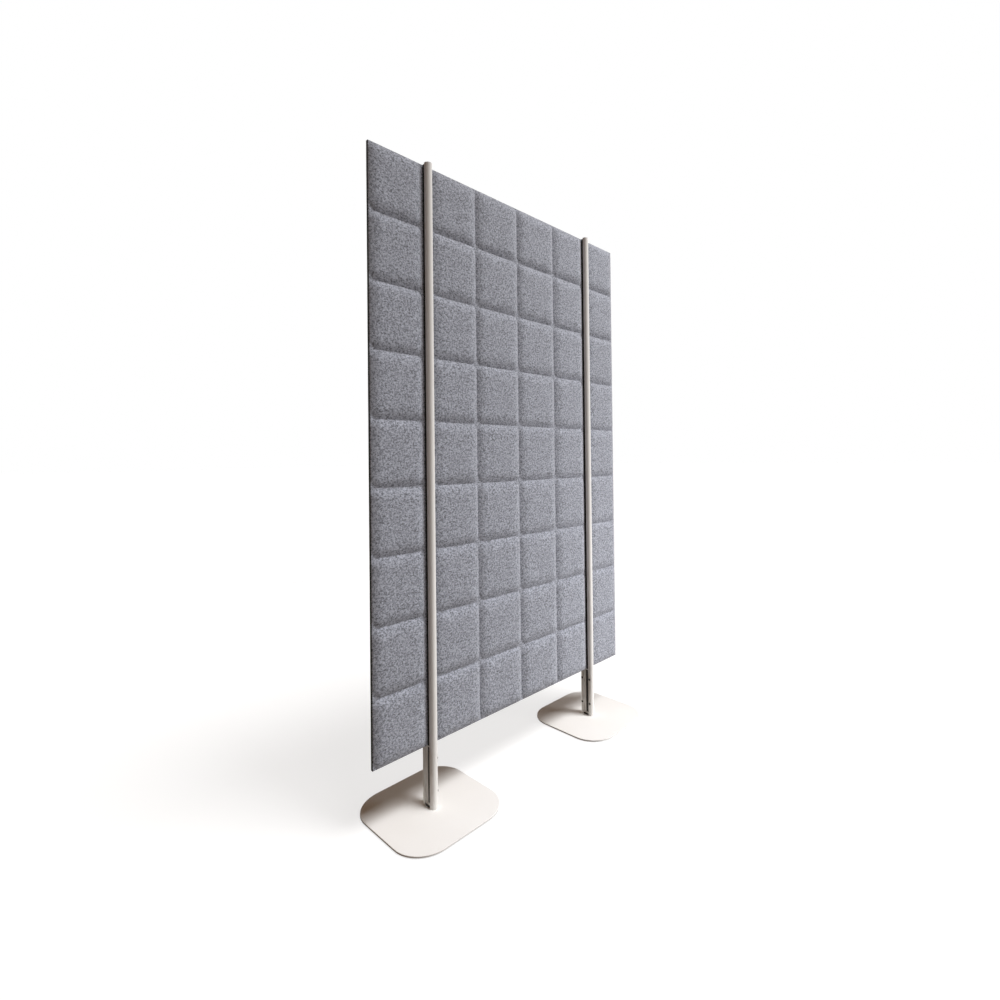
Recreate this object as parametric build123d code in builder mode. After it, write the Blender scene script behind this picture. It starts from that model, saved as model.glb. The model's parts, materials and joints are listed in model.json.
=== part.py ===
from build123d import *
import os

# A free-standing acoustic divider screen: one quilted felt panel, clamped at two seams between
# pairs of round-nosed bars that stand on square base plates.
# Millimetres. X runs along the panel, -Y is the front, Z is up from the floor.

os.makedirs("parts", exist_ok=True)

# Panel
panel_width = 1200.0
panel_height = 1800.0
ground_gap = 200.0
columns = 6
rows = 9
columns_outside_posts = 1
core_thickness = 5.0
felt_rim = 3.0
pillow_rise = 8.0
flank_width = 40.0
land_margin = 5.0

# Bars and the rubber strips behind them
bar_width = 25.0
bar_side = 3.5
bar_rise = 4.0
bar_wall = 2.0
gasket_thickness = 8.0

# End caps of the bars
cap_thickness = 2.0
cap_plug = 10.0
plug_width_share = 0.6

# Ties that hold a front and a rear bar together through the panel
ties_per_post = 2
tie_inset = 300.0
tie_radius = 4.0
tie_head_across_flats = 13.0
tie_head_thickness = 2.5
tie_screw_radius = 2.5
tie_screw_length = 18.0
tie_bore_spare = 3.0
keyhole_drop = 18.0
keyhole_spare = 0.5

# Foot bracket
web_setback = 4.0
web_thickness = 4.0
web_grip = 3.0
boss_width = 20.0
boss_height = 8.0
upright_width = 14.0
upright_depth = 16.0
shelf_setback = 1.0
shelf_thickness = 4.0

# Side screws of the foot bracket
screw_radius = 2.5
screw_length = 12.0
screw_head_radius = 4.75
screw_head_height = 2.75
screw_offset = 5.5
screw_low = 50.0
screw_pitch = 100.0
screw_margin = 14.0
seat_cut = 1.1

# Base
plate_width = 360.0
plate_corner = 100.0
plate_thickness = 5.0
plate_edge = 0.8
pad_inset = 5.0
pad_thickness = 3.0
bolt_radius = 4.0
bolt_head_radius = 8.0
bolt_head_height = 4.0
bolt_head_angle = 90
bolt_length = 14.0

# Fits
clearance = 0.3
thread_gap = 0.1
overrun = 1.0

# Levels and places that follow
column_pitch = panel_width / columns
land_width = bar_width + 2 * land_margin
post_x = panel_width / 2 - columns_outside_posts * column_pitch
panel_top = ground_gap + panel_height
panel_middle = ground_gap + panel_height / 2
valley = core_thickness / 2 + felt_rim
crown = valley + pillow_rise
bar_back = valley + gasket_thickness
bar_inside = bar_back + bar_wall
nose_centre = bar_back + bar_side
bar_top = panel_top + bar_rise - cap_thickness
web_width = bar_width - 2 * web_setback
shelf_width = bar_width - 2 * shelf_setback
base_top = pad_thickness + plate_thickness
web_bottom = base_top + boss_height
web_top = web_bottom + web_thickness
shelf_bottom = ground_gap - shelf_thickness
spigot_back = bar_inside + clearance
screw_y = bar_back + screw_offset
screw_middle = base_top + screw_low + screw_pitch / 2
spigot_top = base_top + screw_low + screw_pitch + screw_margin
seat_x = bar_width / 2 - seat_cut
tie_pitch = (panel_height - 2 * tie_inset) / (ties_per_post - 1)
tie_head_radius = tie_head_across_flats / 3**0.5
plug_half = plug_width_share * (bar_width / 2 - bar_wall)

front, rear = -1, 1
depths = {"front": front, "rear": rear}
posts = {"left": -post_x, "right": post_x}


def save(part, name):
    part.label = name
    export_step(part, f"parts/{name}.step")


def post_plane(x, side, height):
    """Level plane at a post, whose Y points from the panel to the front or the rear."""
    return Plane(origin=(x, 0, height), x_dir=(side, 0, 0), z_dir=(0, 0, 1))


def depth_plane(x, side, depth, height):
    """Upright plane across a post, whose normal points away from the panel and whose Y is up."""
    return Plane(origin=(x, side * depth, height), x_dir=(-side, 0, 0), z_dir=(0, side, 0))


def inward(x):
    """Direction along X from a post to the screen's middle."""
    return -1 if x > 0 else 1


def screw_plane(x, side):
    """Upright plane on the side screws' seats, whose normal points to the screen's middle."""
    place = (x + inward(x) * seat_x, side * screw_y, screw_middle)
    return Plane(origin=place, x_dir=(0, inward(x), 0), z_dir=(inward(x), 0, 0))


def tie_places():
    return GridLocations(tie_pitch, tie_pitch, 1, ties_per_post)


def screw_places():
    return GridLocations(screw_pitch, screw_pitch, 1, 2)


# Quilted felt skins and the board between them


def pillow_spans(length, count, wide_seams):
    """Start and end of each pillow along the panel, leaving a flat land at the wide seams."""
    pitch = length / count
    for i in range(count):
        start = i * pitch - length / 2
        end = start + pitch
        if i in wide_seams:
            start += land_width / 2
        if i + 1 in wide_seams:
            end -= land_width / 2
        yield start, end


def pillow_face(plane, side, length, count, wide_seams=()):
    """Section with a flat back and one pillow for each span."""
    back, low, high = side * core_thickness / 2, side * valley, side * crown
    last = -length / 2
    with BuildSketch(plane) as section:
        with BuildLine():
            Line((last, back), (last, low))
            for start, end in pillow_spans(length, count, wide_seams):
                if start > last:
                    Line((last, low), (start, low))
                TangentArc((start + flank_width, high), (start, low), tangent=(-1, 0))
                Line((start + flank_width, high), (end - flank_width, high))
                TangentArc((end - flank_width, high), (end, low), tangent=(1, 0))
                last = end
            Line((length / 2, low), (length / 2, back))
            Line((length / 2, back), (-length / 2, back))
        make_face()
    return section.sketch


def cut_tie_holes():
    """Clear holes for the ties through a piece of the panel, at both posts."""
    for x in posts.values():
        with BuildSketch(depth_plane(x, front, bar_back, panel_middle)) as holes:
            with tie_places():
                Circle(tie_radius + clearance)
        extrude(holes.sketch, amount=-2 * bar_back, mode=Mode.SUBTRACT)


def felt_skin(side):
    across = Plane(origin=(0, 0, ground_gap), x_dir=(1, 0, 0), z_dir=(0, 0, 1))
    upward = Plane(origin=(panel_width / 2, 0, panel_middle), x_dir=(0, 0, 1), z_dir=(-1, 0, 0))
    post_seams = (columns_outside_posts, columns - columns_outside_posts)
    with BuildPart() as skin:
        extrude(pillow_face(across, side, panel_width, columns, post_seams), amount=panel_height)
        courses = pillow_face(upward, side, panel_height, rows)
        extrude(courses, amount=panel_width, mode=Mode.INTERSECT)
        cut_tie_holes()
    return skin.part


for depth_name, side in depths.items():
    save(felt_skin(side), f"felt_{depth_name}_skin")

with BuildPart() as panel_core:
    with BuildSketch(Plane.XY.offset(ground_gap)):
        Rectangle(panel_width, core_thickness)
    extrude(amount=panel_height)
    cut_tie_holes()
save(panel_core.part, "panel_core")


# Round-nosed bars, their rubber strips and their end caps


def draw_bar(inset):
    """Section of a bar, drawn inside its outer surface by the inset: flat back, half-round nose."""
    half = bar_width / 2 - inset
    with Locations((0, nose_centre)):
        Circle(half)
    with Locations((0, bar_back)):
        Rectangle(2 * half, bar_side, align=(Align.CENTER, Align.MIN))
    with Locations((0, bar_back + inset)):
        Rectangle(bar_width, bar_width, align=(Align.CENTER, Align.MAX), mode=Mode.SUBTRACT)


def post_bar(x, side):
    with BuildPart() as bar:
        with BuildSketch(post_plane(x, side, base_top)):
            draw_bar(0)
        extrude(amount=bar_top - base_top)
        with BuildSketch(post_plane(x, side, base_top)):
            draw_bar(bar_wall)
        extrude(amount=bar_top - base_top, mode=Mode.SUBTRACT)
        # Keyholes: the bar goes over the tie heads and drops until their necks reach the top
        with BuildSketch(depth_plane(x, side, bar_back, panel_middle)):
            with tie_places():
                with Locations((0, -keyhole_drop)):
                    Circle(tie_head_radius + keyhole_spare)
                with Locations((0, -keyhole_drop / 2)):
                    SlotCenterToCenter(keyhole_drop, 2 * (tie_radius + clearance), rotation=90)
        extrude(amount=bar_wall, mode=Mode.SUBTRACT)
        # Notch over the foot bracket's web
        with BuildSketch(depth_plane(x, side, bar_back, base_top)):
            notch_height = web_top + clearance - base_top
            Rectangle(web_width + 2 * clearance, notch_height, align=(Align.CENTER, Align.MIN))
        extrude(amount=bar_wall, mode=Mode.SUBTRACT)
        # Spot-faced seats and holes of the side screws
        with BuildSketch(screw_plane(x, side)):
            with screw_places():
                Circle(screw_head_radius + clearance)
        extrude(amount=seat_cut + overrun, mode=Mode.SUBTRACT)
        with BuildSketch(screw_plane(x, side)):
            with screw_places():
                Circle(screw_radius + clearance)
        extrude(amount=-bar_width / 2, mode=Mode.SUBTRACT)
    return bar.part


def gasket(x, side):
    with BuildPart() as strip:
        with BuildSketch(depth_plane(x, side, valley, panel_middle)):
            Rectangle(bar_width, panel_height)
            with tie_places():
                Circle(tie_radius + clearance, mode=Mode.SUBTRACT)
        extrude(amount=gasket_thickness)
    return strip.part


def end_cap(x, side):
    with BuildPart() as cap:
        with BuildSketch(post_plane(x, side, bar_top)):
            draw_bar(0)
        extrude(amount=cap_thickness)
        with BuildSketch(post_plane(x, side, bar_top)):
            with Locations((0, spigot_back)):
                Rectangle(2 * plug_half, plug_half, align=(Align.CENTER, Align.MIN))
        extrude(amount=-cap_plug)
    return cap.part


for post_name, x in posts.items():
    for depth_name, side in depths.items():
        save(post_bar(x, side), f"post_{depth_name}_{post_name}")
        save(gasket(x, side), f"gasket_{depth_name}_{post_name}")
        save(end_cap(x, side), f"cap_{depth_name}_{post_name}")


# Ties: a headed barrel from the rear and a headed screw from the front


def tie_barrels(x):
    with BuildPart() as barrels:
        with BuildSketch(depth_plane(x, rear, bar_inside, panel_middle)):
            with tie_places():
                RegularPolygon(tie_head_radius, 6)
        extrude(amount=tie_head_thickness)
        with BuildSketch(depth_plane(x, rear, bar_inside, panel_middle)):
            with tie_places():
                Circle(tie_radius)
        extrude(amount=-2 * bar_inside)
        with BuildSketch(depth_plane(x, front, bar_inside, panel_middle)):
            with tie_places():
                Circle(tie_screw_radius + thread_gap)
        extrude(amount=-(tie_screw_length + tie_bore_spare), mode=Mode.SUBTRACT)
    return barrels.part


def tie_screws(x):
    with BuildPart() as screws:
        with BuildSketch(depth_plane(x, front, bar_inside, panel_middle)):
            with tie_places():
                RegularPolygon(tie_head_radius, 6)
        extrude(amount=tie_head_thickness)
        with BuildSketch(depth_plane(x, front, bar_inside, panel_middle)):
            with tie_places():
                Circle(tie_screw_radius)
        extrude(amount=-tie_screw_length)
    return screws.part


for post_name, x in posts.items():
    save(tie_barrels(x), f"tie_barrels_{post_name}")
    save(tie_screws(x), f"tie_screws_{post_name}")


# Foot bracket: boss and web on the base plate, a spigot up into each bar, and between the bars
# an upright with the shelf that the panel rests on


def foot_bracket(x):
    with BuildPart() as bracket:
        with BuildSketch(post_plane(x, rear, base_top)):
            Rectangle(boss_width, 2 * (bar_back - clearance))
        extrude(amount=boss_height)
        with BuildSketch(post_plane(x, rear, web_bottom)):
            Rectangle(web_width, 2 * (spigot_back + web_grip))
        extrude(amount=web_thickness)
        with BuildSketch(post_plane(x, rear, web_top)):
            Rectangle(upright_width, upright_depth)
        extrude(amount=shelf_bottom - web_top)
        with BuildSketch(post_plane(x, rear, shelf_bottom)):
            Rectangle(shelf_width, 2 * (bar_back - clearance))
        extrude(amount=shelf_thickness)
        for side in depths.values():
            with BuildSketch(post_plane(x, side, web_bottom)):
                draw_bar(bar_wall + clearance)
            extrude(amount=spigot_top - web_bottom)
            with BuildSketch(screw_plane(x, side)):
                with screw_places():
                    Circle(screw_radius + thread_gap)
            extrude(amount=-(screw_length + overrun), mode=Mode.SUBTRACT)
        with BuildSketch(post_plane(x, rear, base_top)):
            Circle(bolt_radius + thread_gap)
        extrude(amount=bolt_length - plate_thickness + overrun, mode=Mode.SUBTRACT)
    return bracket.part


def bracket_screws(x):
    with BuildPart() as screws:
        for side in depths.values():
            with BuildSketch(screw_plane(x, side)):
                with screw_places():
                    Circle(screw_head_radius)
            extrude(amount=screw_head_height)
            with BuildSketch(screw_plane(x, side)):
                with screw_places():
                    Circle(screw_radius)
            extrude(amount=-screw_length)
    return screws.part


for post_name, x in posts.items():
    save(foot_bracket(x), f"foot_bracket_{post_name}")
    save(bracket_screws(x), f"bracket_screws_{post_name}")


# Base plate, the bolt up into the bracket's boss, and the rubber pad that meets the floor


def base_plate(x):
    underside = Plane(origin=(x, 0, pad_thickness), x_dir=(1, 0, 0), z_dir=(0, 0, -1))
    with BuildPart() as plate:
        with BuildSketch(post_plane(x, rear, pad_thickness)):
            RectangleRounded(plate_width, plate_width, plate_corner)
        extrude(amount=plate_thickness)
        chamfer(plate.faces().sort_by(Axis.Z)[-1].edges(), plate_edge)
        with Locations(underside):
            sink_radius = bolt_head_radius + clearance
            CounterSinkHole(bolt_radius + clearance, sink_radius, counter_sink_angle=bolt_head_angle)
    return plate.part


def base_bolt(x):
    with BuildPart() as bolt:
        with BuildSketch(post_plane(x, rear, pad_thickness)):
            Circle(bolt_radius)
        extrude(amount=bolt_length)
        seated = (Align.CENTER, Align.CENTER, Align.MIN)
        with Locations((x, 0, pad_thickness)):
            Cone(bolt_head_radius, bolt_radius, bolt_head_height, align=seated)
    return bolt.part


def base_pad(x):
    pad_size = plate_width - 2 * pad_inset
    with BuildPart() as pad:
        with BuildSketch(post_plane(x, rear, 0)):
            RectangleRounded(pad_size, pad_size, plate_corner - pad_inset)
        extrude(amount=pad_thickness)
    return pad.part


for post_name, x in posts.items():
    save(base_plate(x), f"base_plate_{post_name}")
    save(base_bolt(x), f"base_bolt_{post_name}")
    save(base_pad(x), f"base_pad_{post_name}")
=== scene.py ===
# Looks of a free-standing acoustic divider screen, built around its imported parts. All lengths are metres.
import json
import math

import bpy
from mathutils import Matrix, Vector, noise


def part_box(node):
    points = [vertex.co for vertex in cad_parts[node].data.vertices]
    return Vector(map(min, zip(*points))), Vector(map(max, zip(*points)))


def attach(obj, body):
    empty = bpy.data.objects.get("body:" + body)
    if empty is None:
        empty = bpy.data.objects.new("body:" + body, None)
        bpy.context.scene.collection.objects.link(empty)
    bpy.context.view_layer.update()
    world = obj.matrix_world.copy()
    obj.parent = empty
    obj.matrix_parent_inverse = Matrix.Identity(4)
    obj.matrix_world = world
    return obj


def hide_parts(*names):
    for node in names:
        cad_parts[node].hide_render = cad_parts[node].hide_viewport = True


MM = 0.001

# Camera, solved from the photograph's seams, bars and base plates
CAMERA_PLACE = (-1.3931, -1.3841, 1.0817)
CAMERA_YAW, CAMERA_PITCH, CAMERA_ROLL = 46.869, 0.628, -0.654
CAMERA_LENS = 19.257
CAMERA_SENSOR = 36.0
CAMERA_SHIFT = (-0.0334, -0.0478)

# Quilting of the felt
COLUMNS, ROWS = 6, 9
POST_SEAMS = (1, 5)
LAND_MARGIN = 5 * MM
PILLOW_RISE = 10.5 * MM
PILLOW_DOME = 0.6 * MM
FLANK_WIDTH = 42 * MM
FLANK_POWER = 2.6
CORNER_ROUND = 26 * MM
RIM_ROUND = 1.6 * MM
LINES_PER_PILLOW = 28
LINE_CROWDING = 0.8
LAND_LINES = 4
RIM_STEPS = 4
SAG_SIZE, SAG_DEPTH = 1 / 0.11, 0.45 * MM
PUCKER_SIZE, PUCKER_DEPTH = 1 / 0.022, 0.25 * MM

# Foot bracket: painted shade on the front of its upright, between the web and the shelf, and on its boss
UPRIGHT_SPLIT = 2.5 * MM
SPLIT_BLUR, EDGE_BLUR = 1 * MM, 0.2 * MM
WEB_BOTTOM = 16 * MM
WEB_TOP = 20 * MM
SHELF_THICKNESS = 4 * MM

# Side screws
HEAD_RADIUS = 4.75 * MM
HEAD_HEIGHT = 2.75 * MM
SHANK_RADIUS = 2.5 * MM
SOCKET_RADIUS = 1.75 * MM
SOCKET_DEPTH = 1.6 * MM
SOCKET_SIDES = 6
DOME_ANGLES = (0.45, 0.7, 0.95, 1.2, 1.4)
HEAD_TURNS = 40
SHARP_ANGLE = math.radians(35)

# Studio
WHITE = (1.0, 1.0, 1.0)
ROOM_COLOUR, ROOM_STRENGTH = (1.0, 0.5, 0.15, 1.0), 0.10
FLOOR_GLOW, FLOOR_SHOWN = 0.75, 0.33
FLOOR_BOUNCE, FLOOR_WARMTH = 0.16, (1.0, 0.86, 0.76)
FLOOR_REACH = 80.0
CAMERA_REACH = 200.0

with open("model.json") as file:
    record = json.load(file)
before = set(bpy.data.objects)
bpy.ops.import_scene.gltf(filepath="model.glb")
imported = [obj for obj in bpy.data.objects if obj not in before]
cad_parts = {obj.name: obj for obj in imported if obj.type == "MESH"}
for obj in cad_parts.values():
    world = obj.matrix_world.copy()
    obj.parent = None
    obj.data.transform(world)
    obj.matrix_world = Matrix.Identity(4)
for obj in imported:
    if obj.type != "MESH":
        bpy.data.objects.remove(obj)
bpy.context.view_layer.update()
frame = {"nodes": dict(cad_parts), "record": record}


# Shader arithmetic


class Wire:
    """A node's output. Python arithmetic on it adds Math nodes."""

    def __init__(self, finish, socket):
        self.finish, self.socket = finish, socket

    def math(self, operation, *values):
        return self.finish.node("ShaderNodeMath", {"operation": operation}, dict(enumerate(values)))

    def __add__(self, other):
        return self.math("ADD", self, other)

    def __radd__(self, other):
        return self.math("ADD", other, self)

    def __rsub__(self, other):
        return self.math("SUBTRACT", other, self)

    def __mul__(self, other):
        return self.math("MULTIPLY", self, other)

    def __rmul__(self, other):
        return self.math("MULTIPLY", other, self)

    def step(self, low, high):
        """0 below low, 1 above high, and a soft step between."""
        settings = {"interpolation_type": "SMOOTHSTEP"}
        return self.finish.node("ShaderNodeMapRange", settings, {"Value": self, "From Min": low, "From Max": high})


class Finish:
    """A procedural material on a Principled shader."""

    def __init__(self, name, **constants):
        self.material = bpy.data.materials.new(name)
        self.material.use_nodes = True
        self.tree = self.material.node_tree
        self.shader = self.tree.nodes["Principled BSDF"]
        for socket, value in constants.items():
            self.shader.inputs[socket.replace("_", " ")].default_value = value
        self.place = self.node("ShaderNodeTexCoord", output="Object")

    def node(self, kind, settings=None, inputs=None, output=0):
        made = self.tree.nodes.new(kind)
        for key, value in (settings or {}).items():
            setattr(made, key, value)
        for key, value in (inputs or {}).items():
            self.feed(made.inputs[key], value)
        return Wire(self, made.outputs[output])

    def feed(self, socket, value):
        if isinstance(value, Wire):
            self.tree.links.new(value.socket, socket)
        else:
            socket.default_value = value

    def noise(self, size, detail=2.0, roughness=0.5, place=None):
        """Noise from 0 to 1 whose blots are about size wide."""
        inputs = {"Scale": 1 / size, "Detail": detail, "Roughness": roughness}
        return self.node("ShaderNodeTexNoise", None, {"Vector": place or self.place, **inputs})

    def mix(self, share, first, second):
        """Colour between the first and the second."""
        settings = {"data_type": "RGBA", "clamp_factor": True}
        return self.node("ShaderNodeMix", settings, {0: share, 6: first, 7: second}, output=2)

    def paint(self, colour):
        self.feed(self.shader.inputs["Base Color"], colour)

    def roughen(self, roughness):
        self.feed(self.shader.inputs["Roughness"], roughness)

    def emboss(self, height, depth, strength=1.0):
        inputs = {"Height": height, "Distance": depth, "Strength": strength}
        self.feed(self.shader.inputs["Normal"], self.node("ShaderNodeBump", None, inputs))


def grey(value, tint=(1.0, 1.0, 1.0)):
    return tuple(value * share for share in tint) + (1.0,)


# Finishes


FELT_TINT = (1.0, 1.06, 1.24)


def streaks(finish, angle, seed, length=9 * MM, width=1.1 * MM):
    """Noise drawn out along one direction in the panel's plane, as matted fibres are."""
    turned = {"Vector": finish.place, "Rotation": (0, math.radians(angle), 0), "Location": (seed, seed, seed)}
    turned["Scale"] = (1 / length, 1 / width, 1 / width)
    place = finish.node("ShaderNodeMapping", None, turned)
    return finish.noise(1.0, detail=1.5, place=place)


def felt_finish():
    """Grey heather felt: light, middle and dark fibres matted together."""
    felt = Finish("speckled_felt", Roughness=0.95, Sheen_Weight=0.25, Sheen_Roughness=0.6, Specular_IOR_Level=0.2)
    clouds = felt.noise(60 * MM, detail=2)
    blots = felt.noise(5.8 * MM, detail=3, roughness=0.65)
    fibres = streaks(felt, 12, 0.3)
    for angle, seed in ((58, 1.7), (97, 3.1), (149, 4.9)):
        fibres = fibres.math("MAXIMUM", fibres, streaks(felt, angle, seed))
    dark_fibres = streaks(felt, 33, 7.3, 7 * MM, 0.9 * MM)
    for angle, seed in ((81, 8.1), (125, 9.7)):
        dark_fibres = dark_fibres.math("MAXIMUM", dark_fibres, streaks(felt, angle, seed, 7 * MM, 0.9 * MM))
    body = felt.mix(blots.step(0.34, 0.66), grey(0.09, FELT_TINT), grey(0.43, FELT_TINT))
    body = felt.mix(clouds.step(0.3, 0.7) * 0.12, body, grey(0.22, FELT_TINT))
    body = felt.mix(dark_fibres.step(0.57, 0.74) * 0.8, body, grey(0.05, FELT_TINT))
    body = felt.mix(fibres.step(0.58, 0.76) * 0.8, body, grey(0.58, FELT_TINT))
    felt.paint(body)
    felt.emboss(fibres + 0.6 * dark_fibres + 0.7 * blots, 0.5 * MM, 0.7)
    return felt.material


def shaded_edge_finish():
    """Painted shade on the felt's edge walls: near black and dull."""
    edge = Finish("shaded_felt_edge", Specular_IOR_Level=0.15)
    fibres = edge.noise(1.2 * MM, detail=2)
    # Painted shade: the edge walls are coloured near black, far darker than the felt itself
    edge.paint(edge.mix(fibres, grey(0.006), grey(0.015)))
    edge.roughen(0.65 + 0.2 * fibres)
    edge.emboss(fibres, 0.2 * MM, 0.5)
    return edge.material


def board_finish():
    """Dark pressed fibre board."""
    board = Finish("dark_fibre_board", Specular_IOR_Level=0.15)
    fibres = board.noise(0.9 * MM, detail=3)
    board.paint(board.mix(fibres, grey(0.006), grey(0.015)))
    board.roughen(0.7 + 0.2 * fibres)
    board.emboss(fibres, 0.15 * MM, 0.5)
    return board.material


def powder_coat(name, colour, shade):
    """Fine powder coat, nearly matt, with its orange peel."""
    coat = Finish(name, Coat_Weight=0.01, Coat_Roughness=0.35, Specular_IOR_Level=0.05)
    peel = coat.noise(1.3 * MM, detail=2)
    grain = coat.noise(0.35 * MM, detail=1)
    clouds = coat.noise(140 * MM, detail=1)
    coat.paint(coat.mix(clouds.step(0.3, 0.7) * 0.5 + grain * 0.3, colour, shade))
    coat.roughen(0.42 + 0.12 * peel)
    coat.emboss(peel + 0.4 * grain, 0.06 * MM, 0.35)
    return coat


def bracket_finish():
    """Light powder coat, with painted shade: the front of the upright and the boss under the web are painted dark
    grey.
    """
    coat = powder_coat("bracket_powder_coat", grey(0.78, (1, 0.99, 0.97)), grey(0.74, (1, 0.985, 0.96)))
    light = Wire(coat, coat.shader.inputs["Base Color"].links[0].from_socket)
    shelf_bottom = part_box("foot_bracket_left")[1].z - SHELF_THICKNESS
    depth = coat.node("ShaderNodeSeparateXYZ", None, {"Vector": coat.place}, output="Y")
    height = coat.node("ShaderNodeSeparateXYZ", None, {"Vector": coat.place}, output="Z")
    in_front = 1 - depth.step(UPRIGHT_SPLIT - SPLIT_BLUR, UPRIGHT_SPLIT)
    above_web = height.step(WEB_TOP, WEB_TOP + EDGE_BLUR)
    below_shelf = 1 - height.step(shelf_bottom - EDGE_BLUR, shelf_bottom)
    boss = 1 - height.step(WEB_BOTTOM - EDGE_BLUR, WEB_BOTTOM)
    # Painted shade: the upright's front and the boss are masked to dark grey where shade falls between the bars
    upright = in_front * above_web * below_shelf
    coat.paint(coat.mix(upright.math("MAXIMUM", upright, boss), light, grey(0.07)))
    return coat.material


def rubber(name, colour, shade):
    """Matt rubber with a little dust."""
    sheet = Finish(name, Specular_IOR_Level=0.15)
    grain = sheet.noise(0.8 * MM, detail=3)
    dust = sheet.noise(18 * MM, detail=4, roughness=0.7)
    sheet.paint(sheet.mix(dust.step(0.5, 0.8) * 0.5, colour, shade))
    sheet.roughen(0.62 + 0.2 * grain)
    sheet.emboss(grain, 0.1 * MM, 0.4)
    return sheet.material


def plastic_finish():
    """Matt moulded plastic."""
    moulded = Finish("moulded_plastic")
    grain = moulded.noise(0.5 * MM, detail=2)
    moulded.paint(moulded.mix(grain * 0.4, grey(0.76), grey(0.70, (1.0, 0.99, 0.97))))
    moulded.roughen(0.48 + 0.1 * grain)
    moulded.emboss(grain, 0.04 * MM, 0.4)
    return moulded.material


def steel(name, colour, shade, metallic, roughness):
    """Plated or blackened steel with faint marks."""
    plated = Finish(name, Metallic=metallic)
    marks = plated.noise(0.6 * MM, detail=3)
    clouds = plated.noise(7 * MM, detail=2)
    plated.paint(plated.mix(clouds, colour, shade))
    plated.roughen(roughness + 0.15 * marks)
    plated.emboss(marks, 0.03 * MM, 0.4)
    return plated.material


FELT = felt_finish()
SHADED_EDGE = shaded_edge_finish()
POST_COAT = powder_coat("light_powder_coat", grey(0.80, (1, 0.995, 0.98)), grey(0.76, (1, 0.99, 0.965)))
BASE_COAT = powder_coat("base_powder_coat", grey(0.86, (1, 0.995, 0.985)), grey(0.83, (1, 0.99, 0.975)))
FINISHES = {
    "felt": FELT,
    "core_board": board_finish(),
    "light_powder_coat": POST_COAT.material,
    "bracket_powder_coat": bracket_finish(),
    "base_powder_coat": BASE_COAT.material,
    "light_plastic": plastic_finish(),
    "black_rubber": rubber("black_rubber", grey(0.006), grey(0.014)),
    "pad_rubber": rubber("pad_rubber", grey(0.015), grey(0.04)),
    "zinc_steel": steel("zinc_plated_steel", grey(0.62), grey(0.5, (1, 0.98, 0.94)), 1.0, 0.28),
    "black_steel": steel("black_oxide_steel", grey(0.03), grey(0.06, (1, 0.95, 0.9)), 0.6, 0.38),
}


def finish_parts():
    """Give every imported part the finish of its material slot, and smooth its curved faces."""
    for part in frame["record"]["subparts"]:
        mesh = frame["nodes"][part["node"]].data
        mesh.materials.clear()
        mesh.materials.append(FINISHES[part["material_slot"]])
        mesh.polygons.foreach_set("use_smooth", [True] * len(mesh.polygons))


# Pieces made here


def add_piece(name, vertices, faces, materials, replaced):
    """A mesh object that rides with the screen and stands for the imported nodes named."""
    mesh = bpy.data.meshes.new(name)
    mesh.from_pydata(vertices, [], faces)
    for material in materials:
        mesh.materials.append(material)
    piece = bpy.data.objects.new(name, mesh)
    bpy.context.scene.collection.objects.link(piece)
    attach(piece, "root")
    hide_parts(*replaced)
    return piece


def pillow_spans(low, high, count, wide_seams, land):
    """Start and end of each pillow, with a flat land at the wide seams."""
    pitch = (high - low) / count
    for i in range(count):
        start, end = low + i * pitch, low + (i + 1) * pitch
        yield start + (land / 2 if i in wide_seams else 0), end - (land / 2 if i + 1 in wide_seams else 0)


def rim_insets():
    """Distances from the panel's edge of the lines that round its rim."""
    angles = (math.pi / 2 * (1 - i / RIM_STEPS) for i in range(RIM_STEPS + 1))
    return [RIM_ROUND * (1 - math.sin(angle)) for angle in angles]


def quilt_lines(spans):
    """Places of the mesh's lines: rims, pillows with crowded ends, and lands."""
    low, high = spans[0][0], spans[-1][1]
    rim = rim_insets()
    lines = [low + inset for inset in rim] + [high - inset for inset in rim]
    last = low
    for start, end in spans:
        lines += [last + (start - last) * i / LAND_LINES for i in range(LAND_LINES)] if start > last else []
        for i in range(LINES_PER_PILLOW + 1):
            t = i / LINES_PER_PILLOW
            place = start + (end - start) * (t - LINE_CROWDING * math.sin(2 * math.pi * t) / (2 * math.pi))
            if min(place - low, high - place) > rim[-1]:
                lines.append(place)
        last = end
    lines.sort()
    kept = [lines[0]]
    kept += [b for a, b in zip(lines, lines[1:]) if b - a > RIM_ROUND * 0.01]
    return kept


def inner_distance(x, z, span_x, span_z):
    """Distance inside the outline of a pillow with rounded corners, negative outside."""
    half_x, half_z = (span_x[1] - span_x[0]) / 2, (span_z[1] - span_z[0]) / 2
    past_x = abs(x - (span_x[0] + span_x[1]) / 2) - half_x + CORNER_ROUND
    past_z = abs(z - (span_z[0] + span_z[1]) / 2) - half_z + CORNER_ROUND
    return CORNER_ROUND - math.hypot(max(past_x, 0), max(past_z, 0)) - min(max(past_x, past_z), 0)


def span_at(place, spans):
    return next((s for s in spans if s[0] <= place <= s[1]), None)


def pillow_height(x, z, spans_x, spans_z):
    """Height of the felt above its seams."""
    span_x, span_z = span_at(x, spans_x), span_at(z, spans_z)
    if span_x is None or span_z is None:
        return 0.0
    inside = max(inner_distance(x, z, span_x, span_z), 0)
    share = min(inside / FLANK_WIDTH, 1)
    across = (2 * x - span_x[0] - span_x[1]) / (span_x[1] - span_x[0])
    along = (2 * z - span_z[0] - span_z[1]) / (span_z[1] - span_z[0])
    dome = PILLOW_DOME * (1 - across**2) * (1 - along**2)
    return PILLOW_RISE * (1 - (1 - share) ** FLANK_POWER) + dome * share


def unevenness(x, z, side, share):
    """Slow sag of the pressed felt, and small puckers near its seams."""
    sag = noise.noise(Vector((x, side, z)) * SAG_SIZE) * SAG_DEPTH
    pucker = noise.noise(Vector((x, 3 * side, z)) * PUCKER_SIZE) * PUCKER_DEPTH
    return sag * share + pucker


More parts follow.
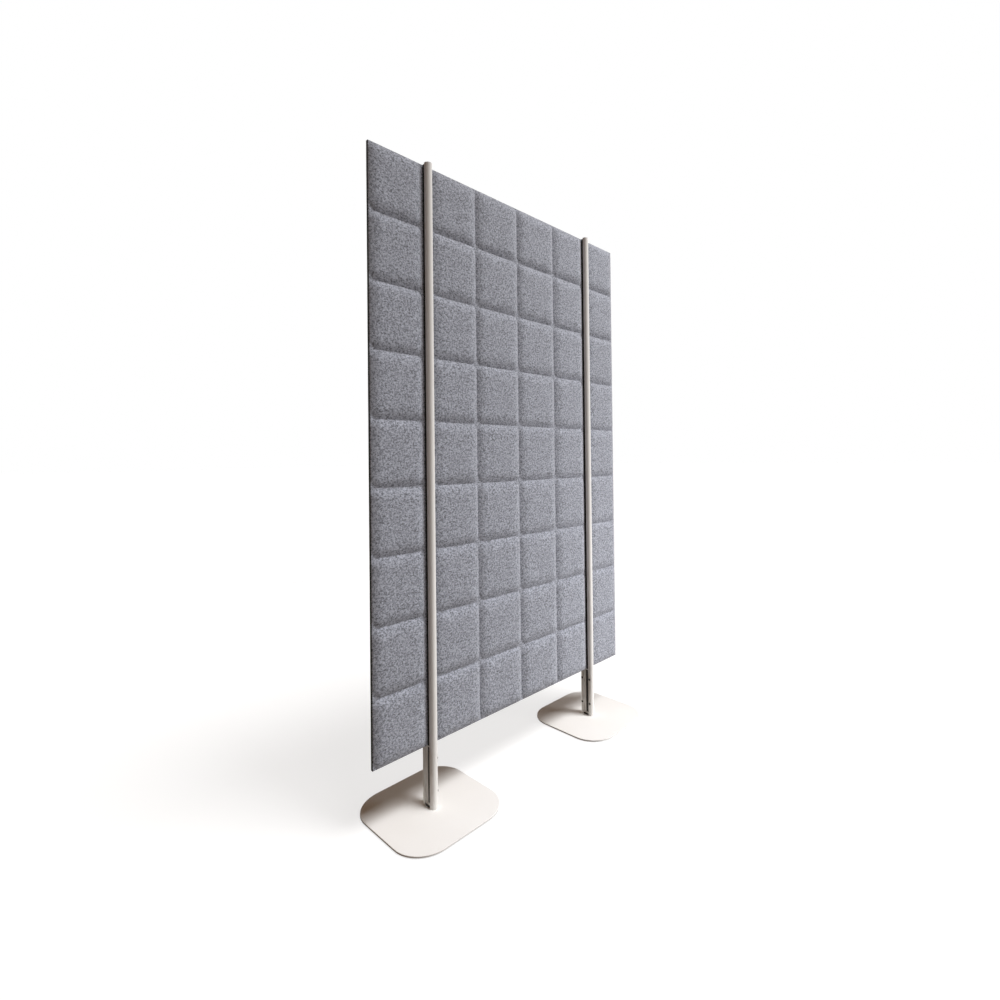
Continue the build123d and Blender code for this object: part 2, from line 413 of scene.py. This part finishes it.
def rim_drop(x, z, low, high):
    """How far the rounded rim falls below the felt's face."""
    ends = ((x - low.x, high.x - x), (z - low.z, high.z - z))
    falls = [max(RIM_ROUND - min(pair), 0) for pair in ends]
    return RIM_ROUND - math.sqrt(max(RIM_ROUND**2 - falls[0] ** 2 - falls[1] ** 2, 0))


def felt_skin(name, side, node):
    """Quilted felt skin: a closed shell with pressed pillows, seams, lands and a rounded rim."""
    low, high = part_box(node)
    strip_low, strip_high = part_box("gasket_front_left")
    valley, core_half = -strip_high.y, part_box("panel_core")[1].y
    land = strip_high.x - strip_low.x + 2 * LAND_MARGIN
    spans_x = list(pillow_spans(low.x, high.x, COLUMNS, POST_SEAMS, land))
    spans_z = list(pillow_spans(low.z, high.z, ROWS, (), 0))
    xs, zs = quilt_lines(spans_x), quilt_lines(spans_z)
    vertices = []
    for z in zs:
        for x in xs:
            height = pillow_height(x, z, spans_x, spans_z)
            height += unevenness(x, z, side, height / PILLOW_RISE) * (height > 0)
            vertices.append((x, side * (valley + height - rim_drop(x, z, low, high)), z))
    wide, tall = len(xs), len(zs)
    faces = [
        (j * wide + i, j * wide + i + 1, (j + 1) * wide + i + 1, (j + 1) * wide + i)
        for j in range(tall - 1)
        for i in range(wide - 1)
    ]
    # Edge walls down to the core, and the back in upright strips
    border = list(range(wide)) + [j * wide + wide - 1 for j in range(1, tall)]
    border += [(tall - 1) * wide + i for i in range(wide - 2, -1, -1)]
    border += [j * wide for j in range(tall - 2, 0, -1)]
    first = len(vertices)
    vertices += [(vertices[v][0], side * core_half, vertices[v][2]) for v in border]
    count = len(border)
    walls = [(border[k], first + k, first + (k + 1) % count, border[(k + 1) % count]) for k in range(count)]
    top = wide - 1 + tall - 1
    upright = [(first + i, first + top + wide - 1 - i) for i in range(wide)]
    back = [(upright[i][0], upright[i][1], upright[i + 1][1], upright[i + 1][0]) for i in range(1, wide - 2)]
    right_side = [first + wide - 1 + j for j in range(tall)]
    left_side = [first] + [first + count - j for j in range(1, tall)]
    back.append([upright[wide - 2][0], upright[wide - 2][1], *reversed(right_side)])
    back.append([upright[1][1], upright[1][0], *left_side])
    faces += walls + back
    if side > 0:
        faces = [tuple(reversed(face)) for face in faces]
    # The edge walls take the near-black finish of painted shade
    piece = add_piece(name, vertices, faces, [FELT, SHADED_EDGE], [node])
    mesh = piece.data
    wall_start = (tall - 1) * (wide - 1)
    for k, polygon in enumerate(mesh.polygons):
        polygon.use_smooth = k < wall_start
        polygon.material_index = int(wall_start <= k < wall_start + count)


def head_profile():
    """Half outline of a button head, from the socket's rim out and down to the shank's end."""
    dome = [(HEAD_RADIUS * math.sin(angle), HEAD_HEIGHT * math.cos(angle)) for angle in DOME_ANGLES]
    return dome + [(HEAD_RADIUS, HEAD_HEIGHT * 0.08), (HEAD_RADIUS, 0), (SHANK_RADIUS, 0)]


def button_screw(centre, out, shank_end):
    """Vertices and faces of one socket button screw. Its axis is X, and out is its head's side."""
    vertices, faces = [], []

    def add_ring(radius, height, corners=0):
        for k in range(HEAD_TURNS):
            angle = 2 * math.pi * k / HEAD_TURNS
            reach = radius
            if corners:
                reach = radius * math.cos(math.pi / corners) / math.cos(
                    (angle + math.pi / corners) % (2 * math.pi / corners) - math.pi / corners
                )
            vertices.append(
                (centre.x + out * height, centre.y + reach * math.cos(angle), centre.z + reach * math.sin(angle))
            )

    add_ring(SOCKET_RADIUS * 0.55, HEAD_HEIGHT - SOCKET_DEPTH)
    add_ring(SOCKET_RADIUS, HEAD_HEIGHT - SOCKET_DEPTH, SOCKET_SIDES)
    add_ring(SOCKET_RADIUS, HEAD_HEIGHT * 0.97, SOCKET_SIDES)
    for radius, height in [*head_profile(), (SHANK_RADIUS, -shank_end)]:
        add_ring(radius, height)
    count = len(vertices) // HEAD_TURNS
    for j in range(count - 1):
        for k in range(HEAD_TURNS):
            a, b = j * HEAD_TURNS + k, j * HEAD_TURNS + (k + 1) % HEAD_TURNS
            faces.append((a, a + HEAD_TURNS, b + HEAD_TURNS, b))
    faces.append(tuple(reversed(range(HEAD_TURNS))))
    faces.append(tuple(range((count - 1) * HEAD_TURNS, count * HEAD_TURNS)))
    if out > 0:
        faces = [tuple(reversed(face)) for face in faces]
    return vertices, faces


def bracket_screws(post):
    """Black socket button screws on the inner sides of one post's bars."""
    node = f"bracket_screws_{post}"
    low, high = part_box(node)
    out = 1 if post == "left" else -1
    seat = (high.x if out > 0 else low.x) - out * HEAD_HEIGHT
    length = high.x - low.x - HEAD_HEIGHT
    vertices, faces = [], []
    for y in (low.y + HEAD_RADIUS, high.y - HEAD_RADIUS):
        for z in (low.z + HEAD_RADIUS, high.z - HEAD_RADIUS):
            points, loops = button_screw(Vector((seat, y, z)), out, length)
            faces += [tuple(v + len(vertices) for v in loop) for loop in loops]
            vertices += points
    piece = add_piece(f"button_screws_{post}", vertices, faces, [FINISHES["black_steel"]], [node])
    piece.data.polygons.foreach_set("use_smooth", [True] * len(piece.data.polygons))
    piece.data.set_sharp_from_angle(angle=SHARP_ANGLE)


# Studio


def add_lamp(name, kind, energy, colour, place, aim, **settings):
    lamp = bpy.data.lights.new(name, kind)
    lamp.energy, lamp.color = energy, colour
    for key, value in settings.items():
        setattr(lamp, key, value)
    holder = bpy.data.objects.new(name, lamp)
    holder.location = place
    holder.rotation_euler = (Vector(aim) - Vector(place)).to_track_quat("-Z", "Y").to_euler()
    holder.visible_camera = False
    bpy.context.scene.collection.objects.link(holder)


def light_studio():
    """A soft key and a higher one from the front right, two side lamps close by, and a small fill low behind."""
    add_lamp("key", "SUN", 2.2, WHITE, (1.190, -2.553, 5.298), (0, 0, 0), angle=math.radians(20))
    add_lamp("upper_key", "SUN", 0.6, WHITE, (0.0, -2.052, 5.638), (0, 0, 0), angle=math.radians(14))
    add_lamp("low_side", "AREA", 26, WHITE, (1.3, -1.5, 0.35), (0.2, 0, 0.8), size=0.7)
    add_lamp("high_side", "AREA", 8, WHITE, (0.9, -0.7, 2.8), (0.2, 0, 1.0), size=0.6)
    add_lamp("rear_fill", "AREA", 40, (1.0, 0.97, 0.94), (0.6, 3.4, 0.07), (0, 0, 1.0), size=0.1)


def camera_sees(tree):
    """1 where the camera, gloss or glass looks at the background, 0 where it lights the screen."""
    path = tree.nodes.new("ShaderNodeLightPath")
    seen = path.outputs["Is Camera Ray"]
    for output in ("Is Glossy Ray", "Is Transmission Ray"):
        either = tree.nodes.new("ShaderNodeMath")
        either.operation = "MAXIMUM"
        tree.links.new(seen, either.inputs[0])
        tree.links.new(path.outputs[output], either.inputs[1])
        seen = either.outputs[0]
    return seen


def light_world():
    """A dim, warm room that the camera sees as white."""
    world = bpy.data.worlds.new("room")
    world.use_nodes = True
    bpy.context.scene.world = world
    tree = world.node_tree
    dim = tree.nodes["Background"]
    dim.inputs["Color"].default_value = ROOM_COLOUR
    dim.inputs["Strength"].default_value = ROOM_STRENGTH
    white = tree.nodes.new("ShaderNodeBackground")
    white.inputs["Color"].default_value = (*WHITE, 1.0)
    white.inputs["Strength"].default_value = 1.0
    chosen = tree.nodes.new("ShaderNodeMixShader")
    tree.links.new(camera_sees(tree), chosen.inputs[0])
    tree.links.new(dim.outputs[0], chosen.inputs[1])
    tree.links.new(white.outputs[0], chosen.inputs[2])
    tree.links.new(chosen.outputs[0], tree.nodes["World Output"].inputs["Surface"])


def lay_floor():
    """A large floor, white to the camera with the screen's soft shadow, that bounces a little warm light."""
    material = bpy.data.materials.new("pale_floor")
    material.use_nodes = True
    tree = material.node_tree
    tree.nodes.remove(tree.nodes["Principled BSDF"])

    def diffuse(colour):
        node = tree.nodes.new("ShaderNodeBsdfDiffuse")
        node.inputs["Color"].default_value = colour
        return node.outputs[0]

    glow = tree.nodes.new("ShaderNodeEmission")
    glow.inputs["Strength"].default_value = FLOOR_GLOW
    shown = tree.nodes.new("ShaderNodeAddShader")
    tree.links.new(diffuse(grey(FLOOR_SHOWN)), shown.inputs[0])
    tree.links.new(glow.outputs[0], shown.inputs[1])
    chosen = tree.nodes.new("ShaderNodeMixShader")
    tree.links.new(camera_sees(tree), chosen.inputs[0])
    tree.links.new(diffuse(grey(FLOOR_BOUNCE, FLOOR_WARMTH)), chosen.inputs[1])
    tree.links.new(shown.outputs[0], chosen.inputs[2])
    tree.links.new(chosen.outputs[0], tree.nodes["Material Output"].inputs["Surface"])
    mesh = bpy.data.meshes.new("floor")
    corners = [(x * FLOOR_REACH, y * FLOOR_REACH, 0) for x, y in ((-1, -1), (1, -1), (1, 1), (-1, 1))]
    mesh.from_pydata(corners, [], [(0, 1, 2, 3)])
    mesh.materials.append(material)
    floor = bpy.data.objects.new("floor", mesh)
    bpy.context.scene.collection.objects.link(floor)


def set_camera():
    """The photograph's camera."""
    lens = bpy.data.cameras.new("photo_camera")
    lens.sensor_width, lens.lens = CAMERA_SENSOR, CAMERA_LENS
    lens.shift_x, lens.shift_y = CAMERA_SHIFT
    lens.clip_end = CAMERA_REACH
    camera = bpy.data.objects.new("photo_camera", lens)
    bpy.context.scene.collection.objects.link(camera)
    camera.matrix_world = (
        Matrix.Translation(CAMERA_PLACE)
        @ Matrix.Rotation(math.radians(-CAMERA_YAW), 4, "Z")
        @ Matrix.Rotation(math.radians(90 + CAMERA_PITCH), 4, "X")
        @ Matrix.Rotation(math.radians(CAMERA_ROLL), 4, "Z")
    )
    bpy.context.scene.camera = camera


finish_parts()
felt_skin("quilted_felt_front", -1, "felt_front_skin")
felt_skin("quilted_felt_rear", 1, "felt_rear_skin")
for post in ("left", "right"):
    bracket_screws(post)
light_studio()
light_world()
lay_floor()
set_camera()
bpy.context.scene.view_settings.view_transform = "Standard"
